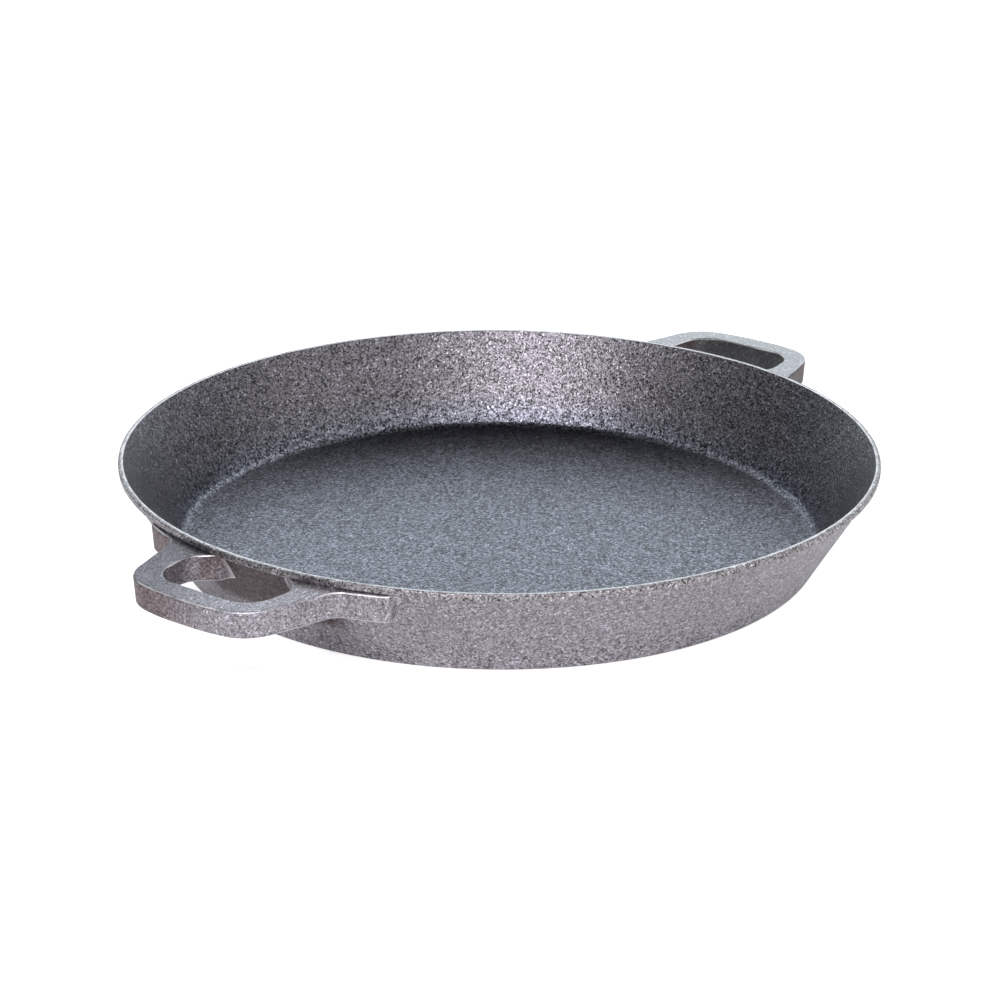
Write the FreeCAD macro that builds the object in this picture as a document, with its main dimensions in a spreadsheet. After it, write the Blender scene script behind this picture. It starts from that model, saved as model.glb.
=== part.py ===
import FreeCAD, Part
import math
import os
import Sketcher

# Cast iron skillet: a wide shallow pan with a flat floor, a sloping side wall, a thickened rim
# and two flat loop handles. The real pan is one iron casting. Each body below is one named
# region of that casting, and neighbours meet face to face.
#
# Frame: origin at the centre of the underside, +Z up, one handle towards +X and one towards -X.

# Alias and size of each driving dimension: lengths in millimetres, the two angles in degrees.
DRIVING_DIMENSIONS = [
    ("rim_diameter", 500),
    ("pan_height", 66),
    ("base_diameter", 421),
    ("base_corner_fillet", 3),
    ("floor_thickness", 6),
    ("floor_plate_diameter", 400),
    ("floor_corner_diameter", 420),
    ("floor_corner_fillet", 10),
    ("wall_top_diameter", 493.6),
    ("rim_depth", 5.5),
    ("rim_face_height", 4.3),
    ("rim_lip_width", 3.3),
    ("rim_edge_fillet", 1),
    ("handle_span", 621),
    ("handle_bulge", 5.2),
    ("handle_thickness", 17),
    ("handle_tip_width", 99),
    ("handle_root_width", 148),
    ("handle_root_reach", 215),
    ("handle_corner_fillet", 29),
    ("handle_neck_fillet", 11),
    ("handle_edge_fillet", 2),
    ("wing_arc_offset", 40),
    ("wing_arc_radius", 215),
    ("wing_arc_angle", 54.3),
    ("wing_angle", 46),
    ("wing_end_fillet", 6),
    ("grip_width", 17.5),
    ("slot_length", 77),
    ("slot_corner_fillet", 19),
    ("slot_lobe_reach", 257),
    ("slot_lobe_length", 87),
    ("slot_lobe_fillet", 16),
    ("slot_mouth_reach", 244),
    ("slot_mouth_width", 52),
    ("slot_mouth_fillet", 10),
]

# Levels and radii that follow from the driving dimensions, as spreadsheet formulas.
RIM_RADIUS = "Dimensions.rim_diameter / 2"
LIP_RADIUS = "(Dimensions.rim_diameter / 2 - Dimensions.rim_lip_width)"
RIM_BOTTOM = "(Dimensions.pan_height - Dimensions.rim_depth)"
INNER_SLOPE = (
    f"(({LIP_RADIUS} - Dimensions.floor_corner_diameter / 2)"
    " / (Dimensions.pan_height - Dimensions.floor_thickness))"
)
INNER_RADIUS_AT_RIM_BOTTOM = f"{LIP_RADIUS} - Dimensions.rim_depth * {INNER_SLOPE}"
OUTER_SLOPE = f"((Dimensions.wall_top_diameter - Dimensions.base_diameter) / 2 / {RIM_BOTTOM})"
HANDLE_BOTTOM = f"({RIM_BOTTOM} - Dimensions.handle_thickness)"
TIP_CORNER_REACH = "Dimensions.handle_span / 2 - Dimensions.handle_bulge"
SLOT_REACH = "Dimensions.handle_span / 2 - Dimensions.grip_width"

# Formula for the place of a point that lies on the sketch's horizontal axis.
ON_AXIS = "0"
# How far the trimming profile runs past the two flat faces of a handle.
TRIM_MARGIN = "2"
# Edges and faces closer than this, in millimetres, count as being in the same place.
NEAR = 0.01
# A cut that takes away less than this many cubic millimetres has missed.
LEAST_CUT = 1


def make_sheet(doc):
    """The driving dimensions, one named cell each."""
    sheet = doc.addObject("Spreadsheet::Sheet", "Dimensions")
    for row, (alias, value) in enumerate(DRIVING_DIMENSIONS, start=1):
        sheet.set(f"A{row}", alias)
        sheet.set(f"B{row}", str(value))
        sheet.setAlias(f"B{row}", alias)
    doc.recompute()
    return sheet


def new_body(doc, label):
    body = doc.addObject("PartDesign::Body", label)
    body.Label = label
    return body


def new_sketch(body, name, role):
    """An empty sketch on the body's own origin plane of the given role."""
    plane = next(item for item in body.Origin.OriginFeatures if item.Role == role)
    sketch = body.newObject("Sketcher::SketchObject", name)
    sketch.AttachmentSupport = [(plane, "")]
    sketch.MapMode = "FlatFace"
    return sketch


def value_of(sheet, formula):
    """The number that a formula on the sheet's cells gives."""
    return float(sheet.evalExpression(formula))


def drive(sheet, sketch, formula, *constraint):
    """Adds a driving constraint and binds its value to the sheet."""
    index = sketch.addConstraint(Sketcher.Constraint(*constraint, value_of(sheet, formula)))
    sketch.setExpression(f"Constraints[{index}]", formula)


def place_point(sheet, sketch, edge, end, across, along):
    """Holds one end of an edge at a distance from each of the sketch's axes."""
    drive(sheet, sketch, across, "DistanceX", -1, 1, edge, end)
    if along == ON_AXIS:
        sketch.addConstraint(Sketcher.Constraint("PointOnObject", edge, end, -1))
    else:
        drive(sheet, sketch, along, "DistanceY", -1, 1, edge, end)


def draw_outline(sheet, sketch, corners):
    """A closed outline of straight edges through corners given as pairs of formulas."""
    points = [
        FreeCAD.Vector(value_of(sheet, across), value_of(sheet, along), 0) for across, along in corners
    ]
    count = len(corners)
    for index in range(count):
        sketch.addGeometry(Part.LineSegment(points[index], points[(index + 1) % count]))
    for index in range(count):
        sketch.addConstraint(Sketcher.Constraint("Coincident", index, 2, (index + 1) % count, 1))
    for index, (across, along) in enumerate(corners):
        place_point(sheet, sketch, index, 1, across, along)


def revolve(body, sketch, kind, name):
    """A full turn of the sketch about the vertical axis, added (Revolution) or cut away (Groove)."""
    feature = body.newObject(f"PartDesign::{kind}", name)
    feature.Profile = sketch
    feature.ReferenceAxis = (sketch, ["V_Axis"])
    feature.Angle = 360
    return feature


def fillet_edges(body, name, base, chosen, radius):
    """Rounds the edges of the base feature for which chosen(edge) is true."""
    body.Document.recompute()
    names = [f"Edge{index}" for index, edge in enumerate(base.Shape.Edges, start=1) if chosen(edge)]
    if not names:
        raise ValueError(f"{name}: no edge to round")
    fillet = body.newObject("PartDesign::Fillet", name)
    fillet.Base = (base, names)
    fillet.setExpression("Radius", radius)
    return fillet


def on_circle(radius, level):
    """Chooses the circular edges about the vertical axis with this radius at this level."""

    def chosen(edge):
        middle = edge.valueAt((edge.FirstParameter + edge.LastParameter) / 2)
        at_level = edge.BoundBox.ZLength < NEAR and abs(middle.z - level) < NEAR
        return at_level and abs(math.hypot(middle.x, middle.y) - radius) < NEAR

    return chosen


def build_floor(doc, sheet):
    """The flat round plate in the middle of the pan's floor."""
    body = new_body(doc, "pan_floor")
    sketch = new_sketch(body, "FloorCircle", "XY_Plane")
    radius = sheet.floor_plate_diameter / 2
    sketch.addGeometry(Part.Circle(FreeCAD.Vector(), FreeCAD.Vector(0, 0, 1), radius))
    sketch.addConstraint(Sketcher.Constraint("Coincident", 0, 3, -1, 1))
    drive(sheet, sketch, "Dimensions.floor_plate_diameter", "Diameter", 0)
    pad = body.newObject("PartDesign::Pad", "FloorPad")
    pad.Profile = sketch
    pad.setExpression("Length", "Dimensions.floor_thickness")
    return body


def build_wall(doc, sheet):
    """The sloping wall with the edge of the floor, its inner fillet and its rounded outer corner."""
    body = new_body(doc, "side_wall")
    sketch = new_sketch(body, "WallProfile", "XZ_Plane")
    corners = [
        ("Dimensions.floor_plate_diameter / 2", ON_AXIS),
        ("Dimensions.base_diameter / 2", ON_AXIS),
        ("Dimensions.wall_top_diameter / 2", RIM_BOTTOM),
        (INNER_RADIUS_AT_RIM_BOTTOM, RIM_BOTTOM),
        ("Dimensions.floor_corner_diameter / 2", "Dimensions.floor_thickness"),
        ("Dimensions.floor_plate_diameter / 2", "Dimensions.floor_thickness"),
    ]
    draw_outline(sheet, sketch, corners)
    wall = revolve(body, sketch, "Revolution", "WallTurn")
    inside = on_circle(sheet.floor_corner_diameter / 2, sheet.floor_thickness)
    rounded = fillet_edges(body, "FloorCorner", wall, inside, "Dimensions.floor_corner_fillet")
    outside = on_circle(sheet.base_diameter / 2, 0)
    fillet_edges(body, "BaseCorner", rounded, outside, "Dimensions.base_corner_fillet")
    return body


def build_rim(doc, sheet):
    """The thickened rim: a flat lip, an upright outer face and an underside that slopes back in."""
    body = new_body(doc, "rim_bead")
    sketch = new_sketch(body, "RimProfile", "XZ_Plane")
    corners = [
        (INNER_RADIUS_AT_RIM_BOTTOM, RIM_BOTTOM),
        ("Dimensions.wall_top_diameter / 2", RIM_BOTTOM),
        (RIM_RADIUS, "Dimensions.pan_height - Dimensions.rim_face_height"),
        (RIM_RADIUS, "Dimensions.pan_height"),
        (LIP_RADIUS, "Dimensions.pan_height"),
    ]
    draw_outline(sheet, sketch, corners)
    rim = revolve(body, sketch, "Revolution", "RimTurn")
    radius = sheet.rim_diameter / 2
    top_edge = on_circle(radius, sheet.pan_height)
    lower_edge = on_circle(radius, sheet.pan_height - sheet.rim_face_height)

    def edge_of_face(edge):
        return top_edge(edge) or lower_edge(edge)

    fillet_edges(body, "RimEdges", rim, edge_of_face, "Dimensions.rim_edge_fillet")
    return body


def raise_to_handle(sketch):
    """Moves a plan sketch up to the underside of the handles."""
    sketch.setExpression(".AttachmentOffset.Base.z", HANDLE_BOTTOM)


def pad_handle(body, sketch, name):
    pad = body.newObject("PartDesign::Pad", name)
    pad.Profile = sketch
    pad.setExpression("Length", "Dimensions.handle_thickness")
    return pad


def plan_place(edge):
    """Where an upright edge stands in plan (x and the size of y), or None for any other edge."""
    box = edge.BoundBox
    if box.ZLength < NEAR or box.XLength > NEAR or box.YLength > NEAR:
        return None
    return FreeCAD.Vector(box.XMin, abs(box.YMin), 0)


def standing_at(x, y):
    """Chooses the upright edges that stand at (x, y) or (x, -y)."""

    def chosen(edge):
        place = plan_place(edge)
        return place is not None and place.distanceToPoint(FreeCAD.Vector(x, y, 0)) < NEAR

    return chosen


def add_wing(body, sheet):
    """The foot of the handle: a band that hugs the wall and thins out on both sides of the grip."""
    sketch = new_sketch(body, "WingPlan", "XY_Plane")
    raise_to_handle(sketch)
    axis = FreeCAD.Vector(0, 0, 1)
    arcs = (
        ("Dimensions.wing_arc_offset", "Dimensions.wing_arc_radius", "Dimensions.wing_arc_angle"),
        (ON_AXIS, "Dimensions.handle_root_reach", "Dimensions.wing_angle"),
    )
    for index, (offset, radius, angle) in enumerate(arcs):
        centre = FreeCAD.Vector(value_of(sheet, offset), 0, 0)
        half_angle = math.radians(value_of(sheet, angle) / 2)
        circle = Part.Circle(centre, axis, value_of(sheet, radius))
        sketch.addGeometry(Part.ArcOfCircle(circle, -half_angle, half_angle))
        if offset == ON_AXIS:
            sketch.addConstraint(Sketcher.Constraint("Coincident", index, 3, -1, 1))
        else:
            place_point(sheet, sketch, index, 3, offset, ON_AXIS)
    outer, inner = sketch.Geometry
    sketch.addGeometry(Part.LineSegment(inner.StartPoint, outer.StartPoint))
    sketch.addGeometry(Part.LineSegment(inner.EndPoint, outer.EndPoint))
    for end, line in ((1, 2), (2, 3)):
        sketch.addConstraint(Sketcher.Constraint("Coincident", line, 1, 1, end))
        sketch.addConstraint(Sketcher.Constraint("Coincident", line, 2, 0, end))
    for index, (offset, radius, angle) in enumerate(arcs):
        across = f"{offset} + {radius} * cos({angle} / 2 * 1 deg)"
        along = f"{radius} * sin({angle} / 2 * 1 deg)"
        place_point(sheet, sketch, index, 2, across, along)
        sketch.addConstraint(Sketcher.Constraint("Symmetric", index, 1, index, 2, -1))
    return pad_handle(body, sketch, "WingPad")


def add_grip(body, sheet):
    """The loop's outer shape: sides that close in towards the tip, and a gently bowed outer edge."""
    sketch = new_sketch(body, "GripPlan", "XY_Plane")
    raise_to_handle(sketch)
    tip_x = value_of(sheet, TIP_CORNER_REACH)
    tip_y = sheet.handle_tip_width / 2
    root_x = sheet.handle_root_reach
    root_y = sheet.handle_root_width / 2
    low_tip = FreeCAD.Vector(tip_x, -tip_y, 0)
    high_tip = FreeCAD.Vector(tip_x, tip_y, 0)
    low_root = FreeCAD.Vector(root_x, -root_y, 0)
    high_root = FreeCAD.Vector(root_x, root_y, 0)
    sketch.addGeometry(Part.LineSegment(low_root, low_tip))
    sketch.addGeometry(Part.Arc(low_tip, FreeCAD.Vector(sheet.handle_span / 2, 0, 0), high_tip))
    sketch.addGeometry(Part.LineSegment(high_tip, high_root))
    sketch.addGeometry(Part.LineSegment(high_root, low_root))
    for edge in range(4):
        sketch.addConstraint(Sketcher.Constraint("Coincident", edge, 2, (edge + 1) % 4, 1))
    place_point(sheet, sketch, 0, 1, "Dimensions.handle_root_reach", "-Dimensions.handle_root_width / 2")
    place_point(sheet, sketch, 3, 1, "Dimensions.handle_root_reach", "Dimensions.handle_root_width / 2")
    place_point(sheet, sketch, 0, 2, TIP_CORNER_REACH, "-Dimensions.handle_tip_width / 2")
    place_point(sheet, sketch, 2, 1, TIP_CORNER_REACH, "Dimensions.handle_tip_width / 2")
    bow_radius = (
        "(Dimensions.handle_tip_width * Dimensions.handle_tip_width / 4"
        " + Dimensions.handle_bulge * Dimensions.handle_bulge) / (2 * Dimensions.handle_bulge)"
    )
    drive(sheet, sketch, bow_radius, "Radius", 1)
    return pad_handle(body, sketch, "GripPad")


def round_outline(body, sheet, grip):
    """Rounds the tip's corners, the necks where the grip meets the wing, and the wing's ends."""
    wing_centre = FreeCAD.Vector(sheet.wing_arc_offset, 0, 0)
    wing_end_y = sheet.wing_arc_radius * math.sin(math.radians(sheet.wing_arc_angle / 2))

    def on_wing(edge):
        place = plan_place(edge)
        if place is None:
            return False
        return abs(place.distanceToPoint(wing_centre) - sheet.wing_arc_radius) < NEAR

    def at_neck(edge):
        return on_wing(edge) and plan_place(edge).y < wing_end_y - NEAR

    def at_wing_end(edge):
        return on_wing(edge) and plan_place(edge).y > wing_end_y - NEAR

    tip = standing_at(value_of(sheet, TIP_CORNER_REACH), sheet.handle_tip_width / 2)
    corners = fillet_edges(body, "TipCorners", grip, tip, "Dimensions.handle_corner_fillet")
    necks = fillet_edges(body, "Necks", corners, at_neck, "Dimensions.handle_neck_fillet")
    return fillet_edges(body, "WingEnds", necks, at_wing_end, "Dimensions.wing_end_fillet")


def cut_slot(body, sheet):
    """The finger slot: open to the pan's wall in the middle, with a lobe at each end."""
    sketch = new_sketch(body, "SlotPlan", "XY_Plane")
    raise_to_handle(sketch)
    half_outline = [
        ("Dimensions.handle_root_reach", "Dimensions.slot_mouth_width / 2"),
        ("Dimensions.slot_mouth_reach", "Dimensions.slot_mouth_width / 2"),
        ("Dimensions.slot_lobe_reach", "Dimensions.slot_lobe_length / 2"),
        (SLOT_REACH, "Dimensions.slot_length / 2"),
    ]
    mirrored = [(across, f"-{along}") for across, along in reversed(half_outline)]
    draw_outline(sheet, sketch, half_outline + mirrored)
    slot = body.newObject("PartDesign::Pocket", "SlotPocket")
    slot.Profile = sketch
    slot.Reversed = True
    slot.setExpression("Length", "Dimensions.handle_thickness")
    outer = standing_at(value_of(sheet, SLOT_REACH), sheet.slot_length / 2)
    lobe = standing_at(sheet.slot_lobe_reach, sheet.slot_lobe_length / 2)
    mouth = standing_at(sheet.slot_mouth_reach, sheet.slot_mouth_width / 2)
    rounded = fillet_edges(body, "SlotOuterCorners", slot, outer, "Dimensions.slot_corner_fillet")
    rounded = fillet_edges(body, "SlotLobes", rounded, lobe, "Dimensions.slot_lobe_fillet")
    return fillet_edges(body, "SlotMouth", rounded, mouth, "Dimensions.slot_mouth_fillet")


def soften_faces(body, sheet, base):
    """Rounds the edges of the handle's flat top and underside, as far in as the wall."""
    top = value_of(sheet, RIM_BOTTOM)
    bottom = value_of(sheet, HANDLE_BOTTOM)
    wall_radius = value_of(sheet, wall_radius_at(HANDLE_BOTTOM))

    def around_a_face(edge):
        box = edge.BoundBox
        flat = box.ZLength < NEAR and min(abs(box.ZMin - top), abs(box.ZMin - bottom)) < NEAR
        farthest = max(math.hypot(vertex.X, vertex.Y) for vertex in edge.Vertexes)
        return flat and farthest > wall_radius

    return fillet_edges(body, "SoftFaces", base, around_a_face, "Dimensions.handle_edge_fillet")


def wall_radius_at(level):
    """Formula for the radius of the wall's outer face at a level."""
    return f"Dimensions.base_diameter / 2 + {level} * {OUTER_SLOPE}"


def trim_to_wall(body, sheet):
    """Cuts the handle back to the outer face of the sloping wall."""
    sketch = new_sketch(body, "TrimProfile", "XZ_Plane")
    low = f"({HANDLE_BOTTOM} - {TRIM_MARGIN})"
    high = f"({RIM_BOTTOM} + {TRIM_MARGIN})"
    inner = "Dimensions.handle_root_reach / 2"
    corners = [(inner, low), (wall_radius_at(low), low), (wall_radius_at(high), high), (inner, high)]
    draw_outline(sheet, sketch, corners)
    return revolve(body, sketch, "Groove", "WallTrim")


def build_handle(doc, sheet, label, turn):
    """One loop handle, made on the +X side and turned about the pan's axis to its place."""
    body = new_body(doc, label)
    add_wing(body, sheet)
    grip = add_grip(body, sheet)
    outline = round_outline(body, sheet, grip)
    slotted = cut_slot(body, sheet)
    doc.recompute()
    check_smaller(outline, slotted)
    softened = soften_faces(body, sheet, slotted)
    trimmed = trim_to_wall(body, sheet)
    doc.recompute()
    check_smaller(softened, trimmed)
    body.Placement = FreeCAD.Placement(FreeCAD.Vector(), FreeCAD.Rotation(FreeCAD.Vector(0, 0, 1), turn))
    return body


def check_smaller(before, after):
    """A cut that misses the solid leaves its volume as it was."""
    if after.Shape.Volume > before.Shape.Volume - LEAST_CUT:
        raise ValueError(f"{after.Label} removed nothing")


def check_document(doc, bodies):
    """Stops if any object failed or any sub-part isn't one sound solid."""
    for item in doc.Objects:
        if "Invalid" in item.State or "Error" in item.State:
            raise ValueError(f"{item.Label} failed: {item.State}")
    for body in bodies:
        shape = body.Shape
        if shape.isNull() or not shape.isValid() or len(shape.Solids) != 1:
            raise ValueError(f"{body.Label} is not one valid solid")


def main():
    doc = FreeCAD.newDocument("Skillet")
    sheet = make_sheet(doc)
    bodies = [
        build_floor(doc, sheet),
        build_wall(doc, sheet),
        build_rim(doc, sheet),
        build_handle(doc, sheet, "handle_right", 0),
        build_handle(doc, sheet, "handle_left", 180),
    ]
    doc.recompute()
    check_document(doc, bodies)
    os.makedirs("parts", exist_ok=True)
    for body in bodies:
        body.Shape.exportStep(f"parts/{body.Label}.step")
        box = body.Shape.BoundBox
        print(f"{body.Label}: {body.Shape.Volume / 1000:.1f} cm3, z {box.ZMin:.2f} to {box.ZMax:.2f}")


main()
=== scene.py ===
"""Cast iron skillet: a wide shallow pan with a sloping wall, a thick rim and two loop handles.

Every piece is built in metres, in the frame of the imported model: origin at the centre of the
underside, +Z up, one handle towards +X and the other towards -X.
"""
import math

import bpy
import numpy as np
import openvdb
from mathutils import Matrix, Vector


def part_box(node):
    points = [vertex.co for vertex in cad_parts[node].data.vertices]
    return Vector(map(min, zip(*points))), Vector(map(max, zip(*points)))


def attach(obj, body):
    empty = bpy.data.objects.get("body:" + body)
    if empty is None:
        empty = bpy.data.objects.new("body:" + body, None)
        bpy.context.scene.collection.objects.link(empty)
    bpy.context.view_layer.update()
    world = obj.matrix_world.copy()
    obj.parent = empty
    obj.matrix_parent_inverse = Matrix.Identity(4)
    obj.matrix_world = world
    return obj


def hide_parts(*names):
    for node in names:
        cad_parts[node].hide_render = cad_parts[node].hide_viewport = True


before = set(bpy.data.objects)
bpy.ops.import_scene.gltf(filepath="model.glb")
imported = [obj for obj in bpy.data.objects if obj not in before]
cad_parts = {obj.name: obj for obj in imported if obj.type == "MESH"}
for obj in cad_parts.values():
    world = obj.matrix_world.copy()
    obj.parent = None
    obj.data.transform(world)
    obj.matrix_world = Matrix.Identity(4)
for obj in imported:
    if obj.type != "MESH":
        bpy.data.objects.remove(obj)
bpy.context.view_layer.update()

MM = 0.001

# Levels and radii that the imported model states.
FLOOR_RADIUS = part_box("pan_floor")[1][0]
FLOOR_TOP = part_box("pan_floor")[1][2]
RIM_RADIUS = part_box("rim_bead")[1][0]
RIM_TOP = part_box("rim_bead")[1][2]
RIM_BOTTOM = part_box("rim_bead")[0][2]
HANDLE_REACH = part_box("handle_right")[1][0]
# A cast handle is a little fuller than the flat plate of the model.
HANDLE_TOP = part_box("handle_right")[1][2] + 0.9 * MM
HANDLE_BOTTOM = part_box("handle_right")[0][2] - 0.6 * MM

# The rest of the casting's section, as in the model.
BASE_RADIUS = 210.5 * MM
BASE_FILLET = 3 * MM
WALL_TOP_RADIUS = 246.8 * MM
FLOOR_CORNER_RADIUS = 210 * MM
FLOOR_FILLET = 7.5 * MM
LIP_RADIUS = 246.7 * MM
LIP_FILLET = 0.5 * MM
RIM_FACE_BOTTOM = RIM_TOP - 4.3 * MM
RIM_FILLET = 1 * MM
INNER_SLOPE = (LIP_RADIUS - FLOOR_CORNER_RADIUS) / (RIM_TOP - FLOOR_TOP)
INNER_RADIUS_AT_RIM = LIP_RADIUS - (RIM_TOP - RIM_BOTTOM) * INNER_SLOPE
OUTER_SLOPE = (WALL_TOP_RADIUS - BASE_RADIUS) / RIM_BOTTOM

# The turned pieces share this many steps round, so that they meet vertex to vertex.
STEPS_ROUND = 720


def smooth_noise(points, seed, wavelength, count):
    """A smooth field of unit size over the points: a sum of plane waves near one wavelength."""
    rng = np.random.default_rng(seed)
    total = np.zeros(len(points))
    for _ in range(count):
        direction = rng.normal(size=3)
        direction /= np.linalg.norm(direction)
        size = wavelength * rng.uniform(0.7, 1.5)
        total += np.sin(points @ direction * (2 * math.pi / size) + rng.uniform(0, 2 * math.pi))
    return total / math.sqrt(count / 2)


def cast(points):
    """Moves points as an uneven sand casting is: a slow wander of the whole and small swells."""
    moved = points.copy()
    lift = np.clip(points[:, 2] / (12 * MM), 0, 1)
    for axis, wander in ((0, 0.16), (1, 0.16), (2, 0.14)):
        slow = smooth_noise(points, 10 + axis, 210 * MM, 8)
        swell = smooth_noise(points, 20 + axis, 17 * MM, 24)
        moved[:, axis] += (slow * wander + swell * 0.022) * MM * lift
    return moved


def new_mesh(name, points, faces, materials, choose=None):
    """A smooth closed mesh object of the cast surface, with creases at its real corners."""
    mesh = bpy.data.meshes.new(name)
    mesh.from_pydata(cast(np.asarray(points, dtype=float)).tolist(), [], faces)
    mesh.validate()
    for material in materials:
        mesh.materials.append(material)
    mesh.polygons.foreach_set("use_smooth", [True] * len(mesh.polygons))
    if choose is not None:
        mesh.polygons.foreach_set("material_index", choose(np.asarray(points), faces))
    mesh.set_sharp_from_angle(angle=math.radians(38))
    mesh.update()
    piece = bpy.data.objects.new(name, mesh)
    bpy.context.scene.collection.objects.link(piece)
    return piece


# ---------------------------------------------------------------- materials


class Nodes:
    """Short hand for building a node tree."""

    def __init__(self, tree):
        self.tree = tree
        tree.nodes.clear()

    def add(self, kind, inputs=None, **settings):
        node = self.tree.nodes.new(kind)
        for key, value in settings.items():
            setattr(node, key, value)
        for key, value in (inputs or {}).items():
            if isinstance(value, bpy.types.NodeSocket):
                self.tree.links.new(value, node.inputs[key])
            else:
                node.inputs[key].default_value = value
        return node

    def math(self, operation, first, second=0.0, third=0.0):
        node = self.add("ShaderNodeMath", {0: first, 1: second, 2: third}, operation=operation)
        return node.outputs[0]

    def remap(self, value, from_low, from_high, to_low, to_high, smooth=False):
        node = self.add(
            "ShaderNodeMapRange",
            {
                "Value": value,
                "From Min": from_low,
                "From Max": from_high,
                "To Min": to_low,
                "To Max": to_high,
            },
            interpolation_type="SMOOTHSTEP" if smooth else "LINEAR",
        )
        return node.outputs["Result"]

    def noise(self, vector, scale, detail=2.0, roughness=0.55):
        node = self.add(
            "ShaderNodeTexNoise",
            {"Vector": vector, "Scale": scale, "Detail": detail, "Roughness": roughness},
        )
        return node.outputs["Fac"]

    def cells(self, vector, scale):
        inputs = {"Vector": vector, "Scale": scale}
        return self.add("ShaderNodeTexVoronoi", inputs, feature="F1").outputs

    def mix(self, factor, first, second):
        node = self.add("ShaderNodeMix", {"Factor": factor}, data_type="RGBA")
        for socket, value in ((node.inputs[6], first), (node.inputs[7], second)):
            if isinstance(value, bpy.types.NodeSocket):
                self.tree.links.new(value, socket)
            else:
                socket.default_value = (*value, 1.0)
        return node.outputs[2]

    def scale_colour(self, colour, factor):
        node = self.add("ShaderNodeVectorMath", {0: colour, "Scale": factor}, operation="SCALE")
        return node.outputs[0]


# Patterns of the iron's surface, in cells or waves to the metre, from the pits to broad stains.
FINE_SCALE = 900
SMALL_SCALE = 880
LARGE_SCALE = 680
BLOTCH_SCALE = 55
CLOUD_SCALE = 9
PIT_DEPTH = 0.28 * MM
# How much the large cells count on the upper faces and on the floor, and the darkest grain.
COARSE_SHARE = (0.25, 1.3)
DARKEST_SHADE = 0.15


def iron(name, colours, roughness, speckle, *colour_steps):
    """Bare seasoned cast iron: pitted grain, fine bright and dark speckle, painted glints, soft
    stains.

    The two colours are those of the floor of the pan and of everything higher up. Each colour step,
    wear or painted light, takes the nodes, the place, its axes and the colour so far, and gives the
    new colour.
    """
    material = bpy.data.materials.new(name)
    material.use_nodes = True
    nodes = Nodes(material.node_tree)
    place = nodes.add("ShaderNodeTexCoord").outputs["Object"]
    axes = nodes.add("ShaderNodeSeparateXYZ", {"Vector": place}).outputs
    fine = nodes.noise(place, FINE_SCALE, 2.0, 0.6)
    small = nodes.cells(place, SMALL_SCALE)
    large = nodes.cells(place, LARGE_SCALE)
    small_grain = nodes.add("ShaderNodeSeparateColor", {"Color": small["Color"]}).outputs[0]
    large_grain = nodes.add("ShaderNodeSeparateColor", {"Color": large["Color"]}).outputs[0]
    blotch = nodes.noise(place, BLOTCH_SCALE, 4.0, 0.6)
    cloud = nodes.noise(place, CLOUD_SCALE, 3.0, 0.5)

    # The floor's colour, bluer partly as a painted reflection of the cool light, fades into that of
    # the walls.
    on_floor = nodes.remap(axes["Z"], 8 * MM, 30 * MM, 1.0, 0.0, True)
    base = nodes.mix(on_floor, colours[1], colours[0])
    shade = nodes.remap(fine, 0.3, 0.7, 1 - speckle, 1 + speckle)
    contrast = 1.3 * speckle
    shade = nodes.math("ADD", shade, nodes.remap(small_grain, 0.0, 1.0, -contrast, contrast))
    coarse = nodes.remap(large_grain, 0.0, 1.0, -speckle, speckle)
    coarse = nodes.math("MULTIPLY", coarse, nodes.remap(on_floor, 0.0, 1.0, *COARSE_SHARE))
    shade = nodes.math("MAXIMUM", nodes.math("ADD", shade, coarse), DARKEST_SHADE)
    shade = nodes.math("MULTIPLY", shade, nodes.remap(blotch, 0.25, 0.75, 0.92, 1.08))
    shade = nodes.math("MULTIPLY", shade, nodes.remap(cloud, 0.3, 0.7, 0.94, 1.06))
    # Painted glints: the rarest bright grain cells are lifted in the colour, standing in for sparkle
    # of light.
    glint = nodes.remap(small_grain, 0.95, 0.98, 0.0, 2 * speckle)
    base = nodes.scale_colour(base, nodes.math("ADD", shade, glint))
    for colour_step in colour_steps:
        base = colour_step(nodes, place, axes, base)
    rough = nodes.remap(blotch, 0.3, 0.7, roughness - 0.03, roughness + 0.03)
    height = nodes.math("MULTIPLY", fine, 0.6)
    height = nodes.math("ADD", height, nodes.math("MULTIPLY", small["Distance"], 0.5))
    height = nodes.math("ADD", height, nodes.math("MULTIPLY", blotch, 0.2))
    bump = nodes.add("ShaderNodeBump", {"Height": height, "Distance": PIT_DEPTH, "Strength": 1.0})
    surface = nodes.add(
        "ShaderNodeBsdfPrincipled",
        {"Base Color": base, "Roughness": rough, "Metallic": 1.0, "Normal": bump.outputs["Normal"]},
    )
    out = nodes.add("ShaderNodeOutputMaterial")
    nodes.tree.links.new(surface.outputs["BSDF"], out.inputs["Surface"])
    return material


def facing(nodes):
    """The direction the surface faces, by axis."""
    normal = nodes.add("ShaderNodeNewGeometry").outputs["Normal"]
    return nodes.add("ShaderNodeSeparateXYZ", {"Vector": normal}).outputs


def paint_shade_over(nodes, where, base, tint):
    """The colour, multiplied by the tint where the mask says: painted shade."""
    darkened = nodes.add("ShaderNodeVectorMath", {0: base, 1: tint}, operation="MULTIPLY").outputs[0]
    return nodes.mix(where, base, darkened)


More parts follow.
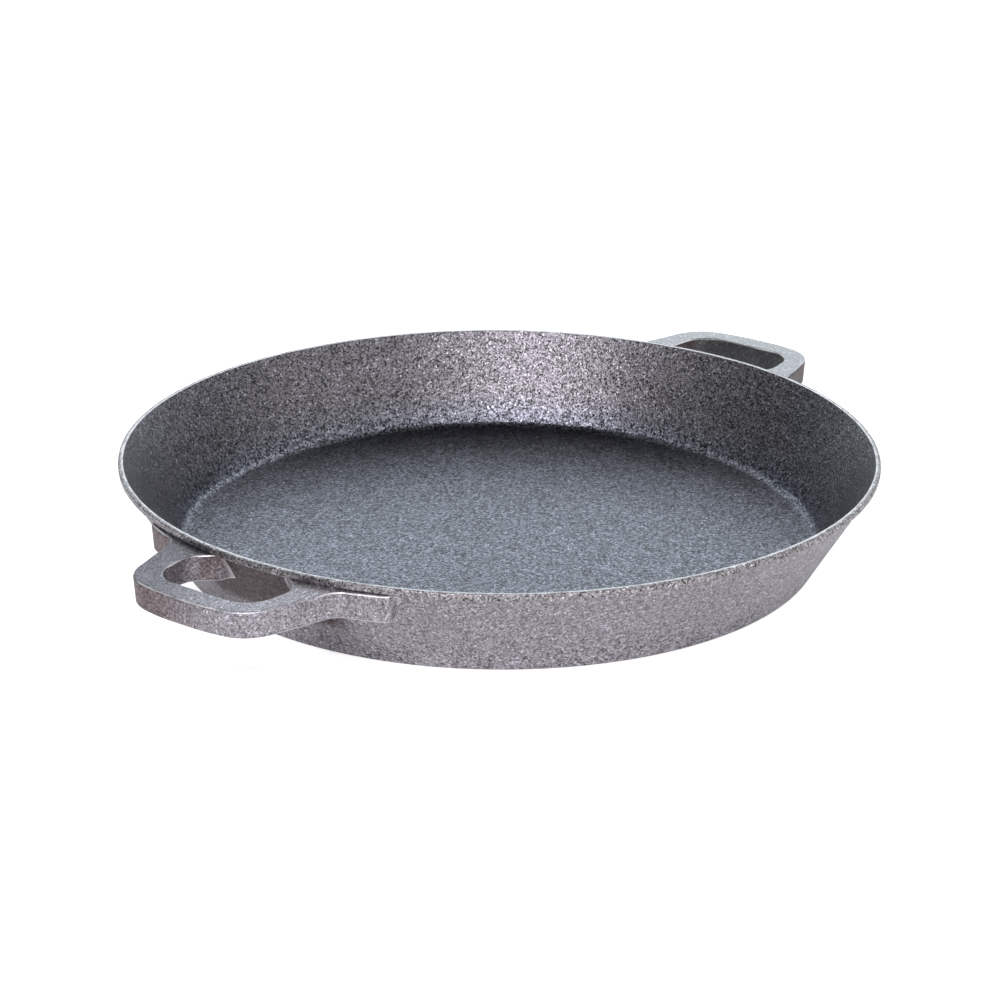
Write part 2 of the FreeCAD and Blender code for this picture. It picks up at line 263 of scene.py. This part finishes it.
def worn_and_highlit_lip(nodes, place, axes, base):
    """The inner edge of the rim's level lip, bright in a thin uneven line: partly rubbed bare iron,
    partly a painted highlight.
    """
    squares = [nodes.math("MULTIPLY", axes[name], axes[name]) for name in ("X", "Y")]
    radius = nodes.math("SQRT", nodes.math("ADD", *squares))
    uneven = nodes.remap(nodes.noise(place, 160, 3.0, 0.6), 0.3, 0.7, -0.5 * MM, 0.5 * MM)
    radius = nodes.math("ADD", radius, uneven)
    bright = nodes.remap(radius, LIP_RADIUS + 1.0 * MM, LIP_RADIUS + 1.8 * MM, 1.0, 0.0, True)
    high = nodes.remap(axes["Z"], RIM_TOP - 1.2 * MM, RIM_TOP - 0.5 * MM, 0.0, 1.0, True)
    patchy = nodes.remap(nodes.noise(place, 110, 3.0, 0.6), 0.35, 0.6, 0.45, 1.0, True)
    where = nodes.math("MULTIPLY", nodes.math("MULTIPLY", bright, high), patchy)
    return nodes.mix(where, base, (0.6, 0.6, 0.61))


def worn_and_highlit_edges(nodes, place, axes, base):
    """The rounded edges of a handle, made bright: partly rubbed where hands and shelves catch them,
    partly a painted highlight.
    """
    slant = nodes.math("ABSOLUTE", facing(nodes)["Z"])
    above_upright = nodes.remap(slant, 0.35, 0.6, 0.0, 1.0)
    below_level = nodes.remap(slant, 0.8, 0.95, 1.0, 0.0)
    edge = nodes.math("MINIMUM", above_upright, below_level)
    patchy = nodes.remap(nodes.noise(place, 40, 3.0, 0.6), 0.38, 0.58, 0.1, 1.0, True)
    return nodes.mix(nodes.math("MULTIPLY", edge, patchy), base, (0.66, 0.66, 0.67))


def painted_shade_side(nodes, place, axes, base):
    """One side of the left handle, painted darker towards +Y, the side turned from the lights, and
    browner on its upright faces: painted shade.
    """
    normal = facing(nodes)
    shaded_part = nodes.remap(axes["Y"], -35 * MM, 30 * MM, 0.0, 1.0, True)
    shaded_part = nodes.math("MULTIPLY", shaded_part, nodes.remap(normal["Y"], -0.9, -0.5, 0.4, 1.0, True))
    upright = nodes.remap(nodes.math("ABSOLUTE", normal["Z"]), 0.4, 0.7, 1.0, 0.0, True)
    tint = nodes.mix(upright, (0.52, 0.52, 0.53), (0.56, 0.47, 0.44))
    return paint_shade_over(nodes, shaded_part, base, tint)


def painted_shade_ends(nodes, place, axes, base):
    """The right handle's faces towards -X painted darker, and those towards -Y darker and browner
    too: painted shade on the faces turned from the back light.
    """
    normal = facing(nodes)
    inward = nodes.remap(normal["X"], -0.3, -0.7, 0.0, 1.0, True)
    sideways = nodes.remap(normal["Y"], -0.4, -0.8, 0.0, 1.0, True)
    tint = nodes.mix(inward, (0.3, 0.25, 0.24), (0.35, 0.35, 0.35))
    return paint_shade_over(nodes, nodes.math("MAXIMUM", inward, sideways), base, tint)


def painted_shade_wall(nodes, place, axes, base):
    """The wall behind the left handle's finger slot, painted darker and browner: painted shade in the
    hollow under the handle.
    """
    across = nodes.remap(nodes.math("ABSOLUTE", axes["Y"]), 45 * MM, 60 * MM, 1.0, 0.0, True)
    high = nodes.remap(axes["Z"], 20 * MM, 30 * MM, 0.0, 1.0, True)
    left = nodes.remap(axes["X"], -200 * MM, -210 * MM, 0.0, 1.0, True)
    shaded_part = nodes.math("MULTIPLY", nodes.math("MULTIPLY", across, high), left)
    return paint_shade_over(nodes, shaded_part, base, (0.36, 0.3, 0.29))


# The floor's bluer grey is partly the iron's own tone and partly a painted reflection of the cool
# light from behind; the walls above are browner.
BLUE_GREY = (0.108, 0.114, 0.136)
BROWN_GREY = (0.125, 0.121, 0.133)
OUTSIDE_GREY = (0.287, 0.278, 0.305)
# Painted light: the right handle's grey is paler than the left's, standing in for the strong light
# that falls on that handle.
PAINTED_LIGHT_GREY = (0.34, 0.345, 0.355)
RIM_GREY = (0.25, 0.24, 0.25)
IRON_INSIDE = iron("iron_inside", (BLUE_GREY, BROWN_GREY), 0.36, 0.6)
IRON_OUTSIDE = iron("iron_outside", (OUTSIDE_GREY, OUTSIDE_GREY), 0.5, 0.34, painted_shade_wall)
IRON_LEFT = iron(
    "iron_left_handle", (OUTSIDE_GREY, OUTSIDE_GREY), 0.5, 0.34, painted_shade_side, worn_and_highlit_edges
)
IRON_RIGHT = iron("iron_right_handle", (PAINTED_LIGHT_GREY, PAINTED_LIGHT_GREY), 0.5, 0.2, painted_shade_ends, worn_and_highlit_edges)
IRON_RIM = iron("iron_rim", (RIM_GREY, RIM_GREY), 0.45, 0.5, worn_and_highlit_lip)


# ---------------------------------------------------------------- turned pieces


def rounded(corners, step):
    """A closed profile through corners (radius, level, fillet), with points about one step apart."""
    count = len(corners)
    outline = []
    for index, (x, y, fillet) in enumerate(corners):
        here = Vector((x, y))
        if fillet == 0:
            outline.append((here, here))
            continue
        before = (Vector(corners[index - 1][:2]) - here).normalized()
        after = (Vector(corners[(index + 1) % count][:2]) - here).normalized()
        half = before.angle(after) / 2
        tangent = fillet / math.tan(half)
        centre = here + (before + after).normalized() * (fillet / math.sin(half))
        start = here + before * tangent - centre
        end = here + after * tangent - centre
        turn = start.angle_signed(end)
        arc_steps = max(3, math.ceil(abs(turn) / math.radians(7)))
        points = []
        for i in range(arc_steps + 1):
            spoke = start.copy()
            spoke.rotate(Matrix.Rotation(-turn * i / arc_steps, 2))
            points.append(centre + spoke)
        outline.append(points)
    profile = []
    for index in range(count):
        profile.extend(outline[index] if len(outline[index]) > 2 else outline[index][:1])
        start = outline[index][-1]
        end = outline[(index + 1) % count][0]
        pieces = max(1, round((end - start).length / step))
        profile.extend(start.lerp(end, i / pieces) for i in range(1, pieces))
    return [(point.x, point.y) for point in profile]


def turned(name, profile, materials, choose):
    """A closed ring with this closed profile (radius, level), turned about the vertical axis."""
    count = len(profile)
    angles = np.arange(STEPS_ROUND) * (2 * math.pi / STEPS_ROUND)
    radii = np.array([radius for radius, _ in profile])
    levels = np.array([level for _, level in profile])
    points = np.empty((STEPS_ROUND, count, 3))
    points[:, :, 0] = np.cos(angles)[:, None] * radii
    points[:, :, 1] = np.sin(angles)[:, None] * radii
    points[:, :, 2] = levels
    here = np.arange(STEPS_ROUND)[:, None] * count
    there = (np.arange(STEPS_ROUND)[:, None] + 1) % STEPS_ROUND * count
    low = np.arange(count)[None, :]
    high = (low + 1) % count
    quads = np.stack([here + low, there + low, there + high, here + high], axis=-1).reshape(-1, 4)
    area = sum(
        profile[i][0] * profile[(i + 1) % count][1] - profile[(i + 1) % count][0] * profile[i][1]
        for i in range(count)
    )
    if area < 0:
        quads = quads[:, ::-1]
    return new_mesh(name, points.reshape(-1, 3), quads.tolist(), materials, choose)


def inside_of_pan(points, faces):
    """0 for a face that looks into the bowl, 1 for one outside it."""
    centres = points[np.array([face[:4] for face in faces])].mean(axis=1)
    radius = np.hypot(centres[:, 0], centres[:, 1])
    inner = FLOOR_CORNER_RADIUS + (centres[:, 2] - FLOOR_TOP) * INNER_SLOPE
    inside = (radius < inner + 0.1 * MM) & (centres[:, 2] > FLOOR_TOP / 2)
    return np.where(inside, 0, 1).astype(int)


def build_wall():
    corners = [
        (FLOOR_RADIUS, 0, 0),
        (BASE_RADIUS, 0, BASE_FILLET),
        (WALL_TOP_RADIUS, RIM_BOTTOM, 0),
        (INNER_RADIUS_AT_RIM, RIM_BOTTOM, 0),
        (FLOOR_CORNER_RADIUS, FLOOR_TOP, FLOOR_FILLET),
        (FLOOR_RADIUS, FLOOR_TOP, 0),
    ]
    profile = rounded(corners, 2 * MM)
    return turned("side_wall_casting", profile, [IRON_INSIDE, IRON_OUTSIDE], inside_of_pan)


def build_rim():
    corners = [
        (INNER_RADIUS_AT_RIM, RIM_BOTTOM, 0),
        (WALL_TOP_RADIUS, RIM_BOTTOM, 0),
        (RIM_RADIUS, RIM_FACE_BOTTOM, RIM_FILLET),
        (RIM_RADIUS, RIM_TOP, RIM_FILLET),
        (LIP_RADIUS, RIM_TOP, LIP_FILLET),
    ]
    profile = rounded(corners, 0.8 * MM)
    return turned("rim_bead_casting", profile, [IRON_INSIDE, IRON_RIM], inside_of_pan)


def build_floor():
    """The round plate: a square grid drawn out to a disc, so that its edge meets the wall's steps."""
    side = STEPS_ROUND // 4
    line = np.linspace(-1, 1, side + 1)
    a, b = np.meshgrid(line, line, indexing="ij")
    wide = np.abs(a) >= np.abs(b)
    with np.errstate(divide="ignore", invalid="ignore"):
        radius = np.where(wide, a, b)
        angle = np.where(wide, math.pi / 4 * b / a, math.pi / 2 - math.pi / 4 * a / b)
    angle = np.nan_to_num(angle)
    x = radius * np.cos(angle) * FLOOR_RADIUS
    y = radius * np.sin(angle) * FLOOR_RADIUS
    across = side + 1
    top = np.stack([x, y, np.full_like(x, FLOOR_TOP)], axis=-1).reshape(-1, 3)
    bottom = top * (1, 1, 0)
    i, j = np.meshgrid(np.arange(side), np.arange(side), indexing="ij")
    corner = (i * across + j).ravel()
    upper = np.stack([corner, corner + across, corner + across + 1, corner + 1], axis=-1)
    lower = upper[:, ::-1] + len(top)
    edge = [i * across for i in range(side)]
    edge += [side * across + j for j in range(side)]
    edge += [i * across + side for i in range(side, 0, -1)]
    edge += [j for j in range(side, 0, -1)]
    edge = np.array(edge)
    following = np.roll(edge, -1)
    band = np.stack([edge, edge + len(top), following + len(top), following], axis=-1)
    faces = np.concatenate([upper, lower, band])
    points = np.concatenate([top, bottom])
    materials = [IRON_INSIDE, IRON_OUTSIDE]
    return new_mesh("pan_floor_casting", points, faces.tolist(), materials, inside_of_pan)


# ---------------------------------------------------------------- handles

# Plan of the handle on the +X side, in metres: x away from the pan's axis, y along the rim.
TIP_CORNER = (HANDLE_REACH - 5.2 * MM, 49.5 * MM)
GRIP_ROOT = (215 * MM, 74 * MM)
WING_ARC_OFFSET = 40 * MM
WING_ARC_RADIUS = 215 * MM
WING_HALF_ARC = 27.15
WING_HALF_ANGLE = 23
TIP_FILLET = 29 * MM
NECK_FILLET = 11 * MM
WING_END_FILLET = 6 * MM
SLOT_OUTER = (HANDLE_REACH - 17.5 * MM, 38.5 * MM)
SLOT_LOBE = (257 * MM, 42.5 * MM)
SLOT_MOUTH = (244 * MM, 26 * MM)
# The slot's inner end, past the face of the wall, where the handle is cut off anyway.
SLOT_BACK = GRIP_ROOT[0] - 5 * MM
SLOT_OUTER_FILLET = 19 * MM
SLOT_LOBE_FILLET = 16 * MM
SLOT_MOUTH_FILLET = 10 * MM
# The cast slots sit a little towards -Y of the handles' middle.
SLOT_SHIFT = -1.5 * MM
HANDLE_EDGE = 2 * MM
# How much the handle's upright sides draw in from its top to its underside.
DRAFT = 1.4 * MM
# How far the handle runs into the wall, out of sight, and how broadly it blends into it.
SUNK = 1.5 * MM
BLEND = 5 * MM
VOXEL = 0.75 * MM


def outline_distance(corners, xs, ys):
    """Signed distance in plan to a closed outline of rounded corners, negative inside."""
    outline = np.array(rounded(corners, 1.5 * MM))
    ends = np.roll(outline, -1, axis=0)
    gx, gy = np.meshgrid(xs, ys, indexing="ij")
    nearest = np.full(gx.shape, np.inf)
    inside = np.zeros(gx.shape, dtype=bool)
    for (x0, y0), (x1, y1) in zip(outline, ends):
        dx, dy = x1 - x0, y1 - y0
        along = np.clip(((gx - x0) * dx + (gy - y0) * dy) / (dx * dx + dy * dy), 0, 1)
        nearest = np.minimum(nearest, np.hypot(gx - x0 - along * dx, gy - y0 - along * dy))
        if y0 != y1:
            crosses = (y0 > gy) != (y1 > gy)
            inside ^= crosses & (gx < (gy - y0) * dx / dy + x0)
    return np.where(inside, -nearest, nearest)


def soft_min(first, second, reach):
    """The lesser of two distances, rounded where they are within reach of each other."""
    near = np.clip(reach - np.abs(first - second), 0, None) / reach
    return np.minimum(first, second) - near * near * reach / 4


def bowed_tip():
    """Points of the outer edge between the two tip corners, which bows out a little."""
    bulge = HANDLE_REACH - TIP_CORNER[0]
    half = TIP_CORNER[1]
    radius = (half * half + bulge * bulge) / (2 * bulge)
    spread = math.asin((half - TIP_FILLET) / radius)
    angles = np.linspace(-spread, spread, 7)
    return [(HANDLE_REACH - radius + radius * math.cos(a), radius * math.sin(a)) for a in angles]


def on_wing(angle, fillet):
    """A corner on the outer face of the wing, at this angle about that face's own centre."""
    x = WING_ARC_OFFSET + WING_ARC_RADIUS * math.cos(angle)
    return (x, WING_ARC_RADIUS * math.sin(angle), fillet)


def handle_outline():
    """Corners (x, y, fillet) of the handle in plan, anticlockwise."""
    slope = (GRIP_ROOT[1] - TIP_CORNER[1]) / (TIP_CORNER[0] - GRIP_ROOT[0])
    # The side of the grip meets the wing's arc at the neck; x is taken from the arc's centre.
    reach = GRIP_ROOT[1] + slope * (GRIP_ROOT[0] - WING_ARC_OFFSET)
    a = 1 + slope * slope
    b = -2 * slope * reach
    c = reach * reach - WING_ARC_RADIUS**2
    neck_x = (-b + math.sqrt(b * b - 4 * a * c)) / (2 * a)
    neck_y = reach - slope * neck_x
    upper = [
        (TIP_CORNER[0], TIP_CORNER[1], TIP_FILLET),
        (WING_ARC_OFFSET + neck_x, neck_y, NECK_FILLET),
    ]
    half = math.radians(WING_HALF_ARC)
    for angle in np.linspace(math.atan2(neck_y, neck_x), half, 6)[2:-1]:
        upper.append(on_wing(angle, 0))
    upper.append(on_wing(half, WING_END_FILLET))
    inner = math.radians(WING_HALF_ANGLE)
    upper.append((GRIP_ROOT[0] * math.cos(inner), GRIP_ROOT[0] * math.sin(inner), 0))
    lower = [(x, -y, fillet) for x, y, fillet in reversed(upper)]
    tip = [(x, y, 0) for x, y in bowed_tip()]
    return upper + lower + tip


def slot_outline():
    """Corners (x, y, fillet) of the finger slot in plan."""
    upper = [
        (*SLOT_OUTER, SLOT_OUTER_FILLET),
        (*SLOT_LOBE, SLOT_LOBE_FILLET),
        (*SLOT_MOUTH, SLOT_MOUTH_FILLET),
        (SLOT_BACK, SLOT_MOUTH[1], 0),
    ]
    both = upper + [(x, -y, fillet) for x, y, fillet in reversed(upper)]
    return [(x, y + SLOT_SHIFT, fillet) for x, y, fillet in both]


def handle_field():
    """Signed distance to the handle on a grid, and the grid's lowest corner."""
    margin = 4 * MM
    xs = np.arange(GRIP_ROOT[0] + 8 * MM, HANDLE_REACH + margin, VOXEL)
    reach_y = WING_ARC_RADIUS * math.sin(math.radians(WING_HALF_ARC)) + 3 * margin
    steps = math.ceil(reach_y / VOXEL)
    ys = np.arange(-steps, steps + 1) * VOXEL
    zs = np.arange(HANDLE_BOTTOM - 3 * margin, HANDLE_TOP + margin, VOXEL)
    plan = np.maximum(
        outline_distance(handle_outline(), xs, ys), -outline_distance(slot_outline(), xs, ys)
    )[:, :, None]
    plan = plan + DRAFT * ((HANDLE_TOP - zs) / (HANDLE_TOP - HANDLE_BOTTOM))[None, None, :]
    middle = (HANDLE_TOP + HANDLE_BOTTOM) / 2
    tall = (np.abs(zs - middle) - (HANDLE_TOP - HANDLE_BOTTOM) / 2)[None, None, :]
    across, up = plan + HANDLE_EDGE, tall + HANDLE_EDGE
    body = np.minimum(np.maximum(across, up), 0) - HANDLE_EDGE
    body = body + np.hypot(np.maximum(across, 0), np.maximum(up, 0))
    radius = np.hypot(xs[:, None], ys[None, :])[:, :, None]
    wall = (radius - BASE_RADIUS - OUTER_SLOPE * zs[None, None, :]) / math.hypot(1, OUTER_SLOPE)
    joined = soft_min(body, wall + 0.1 * MM, BLEND)
    joined = -soft_min(-joined, -tall, 1.5 * MM)
    joined = np.maximum(joined, -(wall + SUNK))
    joined = np.maximum(joined, body - BLEND * 0.9)
    joined = np.maximum(joined, zs[None, None, :] - HANDLE_TOP)
    return joined, (xs[0], ys[0], zs[0])


def build_handles():
    """One mesh from the field, used on the +X side and mirrored for the other."""
    field, corner = handle_field()
    grid = openvdb.FloatGrid(3 * VOXEL)
    grid.copyFromArray(np.clip(field, -3 * VOXEL, 3 * VOXEL).astype(np.float32))
    points, quads = grid.convertToQuads(isovalue=0.0)
    points = points.astype(float) * VOXEL + np.array(corner)
    for name, sign, material in (("handle_right", 1, IRON_RIGHT), ("handle_left", -1, IRON_LEFT)):
        piece = new_mesh(
            f"{name}_casting", points * (sign, 1, 1), quads[:, ::-sign].tolist(), [material]
        )
        dress(piece, "cast_iron", name)


def dress(piece, slot, *nodes):
    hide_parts(*nodes)
    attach(piece, "root")


dress(build_floor(), "cast_iron", "pan_floor")
dress(build_wall(), "cast_iron", "side_wall")
dress(build_rim(), "worn_iron", "rim_bead")
build_handles()


# ---------------------------------------------------------------- stage, light and camera


# The floor's own glow, as it lights the pan and as the camera sees it.
FLOOR_GLOW = 0.21
FLOOR_GLOW_SEEN = 0.7
FLOOR_HALF_WIDTH = 15
FLOOR_LEVEL = -0.3 * MM


def build_stage():
    """A plain white floor, lit from below as well so that it looks white all over."""
    material = bpy.data.materials.new("white_floor")
    material.use_nodes = True
    nodes = Nodes(material.node_tree)
    seen = nodes.add("ShaderNodeLightPath").outputs["Is Camera Ray"]
    surface = nodes.add("ShaderNodeBsdfPrincipled", {
        "Base Color": (0.86, 0.86, 0.86, 1),
        "Roughness": 0.9,
        "Specular IOR Level": 0.1,
        "Emission Color": (1, 1, 1, 1),
        "Emission Strength": nodes.remap(seen, 0.0, 1.0, FLOOR_GLOW, FLOOR_GLOW_SEEN),
    })
    out = nodes.add("ShaderNodeOutputMaterial")
    nodes.tree.links.new(surface.outputs["BSDF"], out.inputs["Surface"])
    mesh = bpy.data.meshes.new("studio_floor")
    corners = [
        (sign_x * FLOOR_HALF_WIDTH, sign_y * FLOOR_HALF_WIDTH, FLOOR_LEVEL)
        for sign_x, sign_y in ((-1, -1), (1, -1), (1, 1), (-1, 1))
    ]
    mesh.from_pydata(corners, [], [(0, 1, 2, 3)])
    mesh.materials.append(material)
    floor = bpy.data.objects.new("studio_floor", mesh)
    bpy.context.scene.collection.objects.link(floor)


CAMERA_AZIMUTH = -52.6
CAMERA_ELEVATION = 21.02
CAMERA_DISTANCE = 2.150
CAMERA_LENS = 116.8
CAMERA_ROLL = 0.34
# The point that the camera looks at: its level, and how far it lies to the camera's right.
AIM_LEVEL = 29.3 * MM
AIM_RIGHT = 0.65 * MM


def towards(azimuth, elevation):
    """Unit vector from the pan towards a place at this azimuth and elevation, in degrees."""
    a, e = math.radians(azimuth), math.radians(elevation)
    return Vector((math.sin(a) * math.cos(e), -math.cos(a) * math.cos(e), math.sin(e)))


def build_camera():
    data = bpy.data.cameras.new("camera")
    data.lens = CAMERA_LENS
    data.sensor_width = 36
    data.clip_end = 100
    camera = bpy.data.objects.new("camera", data)
    bpy.context.scene.collection.objects.link(camera)
    middle = Vector((0, 0, RIM_TOP / 2))
    camera.location = middle + towards(CAMERA_AZIMUTH, CAMERA_ELEVATION) * CAMERA_DISTANCE
    azimuth = math.radians(CAMERA_AZIMUTH)
    right = Vector((math.cos(azimuth), math.sin(azimuth), 0))
    aim = Vector((0, 0, AIM_LEVEL)) + right * AIM_RIGHT
    look = (aim - camera.location).to_track_quat("-Z", "Y").to_matrix()
    turn = look @ Matrix.Rotation(math.radians(CAMERA_ROLL), 3, "Z")
    camera.rotation_euler = turn.to_euler()
    bpy.context.scene.camera = camera


def build_softbox(name, azimuth, elevation, distance, size, power, colour):
    data = bpy.data.lights.new(name, "AREA")
    data.shape = "RECTANGLE"
    data.size, data.size_y = size
    data.energy = power
    data.color = colour
    light = bpy.data.objects.new(name, data)
    light.location = towards(azimuth, elevation) * distance
    light.rotation_euler = (-light.location).to_track_quat("-Z", "Y").to_euler()
    light.visible_camera = False
    bpy.context.scene.collection.objects.link(light)


# Soft lights of the studio around the pan. Each is a patch of sky: the elevations in degrees at
# which it begins, is strongest and ends, the azimuth it is centred on (from the camera's, positive
# to the camera's right), how far it reaches to each side, its strength and its colour.
NEUTRAL = (1.0, 1.0, 1.0)
COOL = (0.90, 1.0, 1.07)
WARM = (1.04, 0.98, 1.02)
SKY = [
    ((25, 42, 62), None, None, 1.4, NEUTRAL),
    ((25, 42, 62), 90, 170, 0.9, NEUTRAL),
    ((12, 25, 42), 180, 90, 2.4, COOL),
    ((0, 0, 12), 55, 110, 4.1, WARM),
    ((12, 25, 42), 60, 110, 0.6, WARM),
]

# Softboxes: name, azimuth from the camera's, elevation, distance, size, power and colour.
SOFTBOXES = [
    ("key", -13, 45, 2.4, (1.3, 0.9), 37, WARM),
    ("back", 180, 12, 1.4, (2.2, 0.5), 4, COOL),
]


def sky_patch(nodes, elevation, offset, patch):
    """The strength of one patch of sky in the direction being lit."""
    (low, middle, high), centre, reach, strength, _ = patch
    fall = nodes.remap(elevation, middle, high, strength, 0.0)
    if middle > low:
        fall = nodes.math("MINIMUM", fall, nodes.remap(elevation, low, middle, 0.0, strength))
    if centre is None:
        return fall
    away = nodes.math("SUBTRACT", offset, centre)
    away = nodes.math("ABSOLUTE", nodes.math("WRAP", away, 180.0, -180.0))
    return nodes.math("MULTIPLY", fall, nodes.remap(away, 0.0, reach, 1.0, 0.0, True))


def build_world():
    """A dim studio with broad soft lights, in front of a plain white backdrop."""
    world = bpy.data.worlds.new("studio")
    world.use_nodes = True
    bpy.context.scene.world = world
    nodes = Nodes(world.node_tree)
    direction = nodes.add("ShaderNodeTexCoord").outputs["Generated"]
    axes = nodes.add("ShaderNodeSeparateXYZ", {"Vector": direction})
    elevation = nodes.math("DEGREES", nodes.math("ARCSINE", axes.outputs["Z"]))
    back_y = nodes.math("MULTIPLY", axes.outputs["Y"], -1.0)
    azimuth = nodes.math("DEGREES", nodes.math("ARCTAN2", axes.outputs["X"], back_y))
    offset = nodes.math("SUBTRACT", azimuth, CAMERA_AZIMUTH)
    sky = (0.0, 0.0, 0.0)
    for patch in SKY:
        glow = nodes.scale_colour(patch[-1], sky_patch(nodes, elevation, offset, patch))
        sky = nodes.add("ShaderNodeVectorMath", {0: glow, 1: sky}, operation="ADD").outputs[0]
    seen = nodes.add("ShaderNodeLightPath").outputs["Is Camera Ray"]
    light = nodes.add("ShaderNodeBackground", {"Color": nodes.mix(seen, sky, NEUTRAL)})
    out = nodes.add("ShaderNodeOutputWorld")
    nodes.tree.links.new(light.outputs[0], out.inputs["Surface"])


build_stage()
build_camera()
for name, to_the_right, elevation, distance, size, power, colour in SOFTBOXES:
    build_softbox(name, CAMERA_AZIMUTH + to_the_right, elevation, distance, size, power, colour)
build_world()
bpy.context.scene.view_settings.view_transform = "Standard"
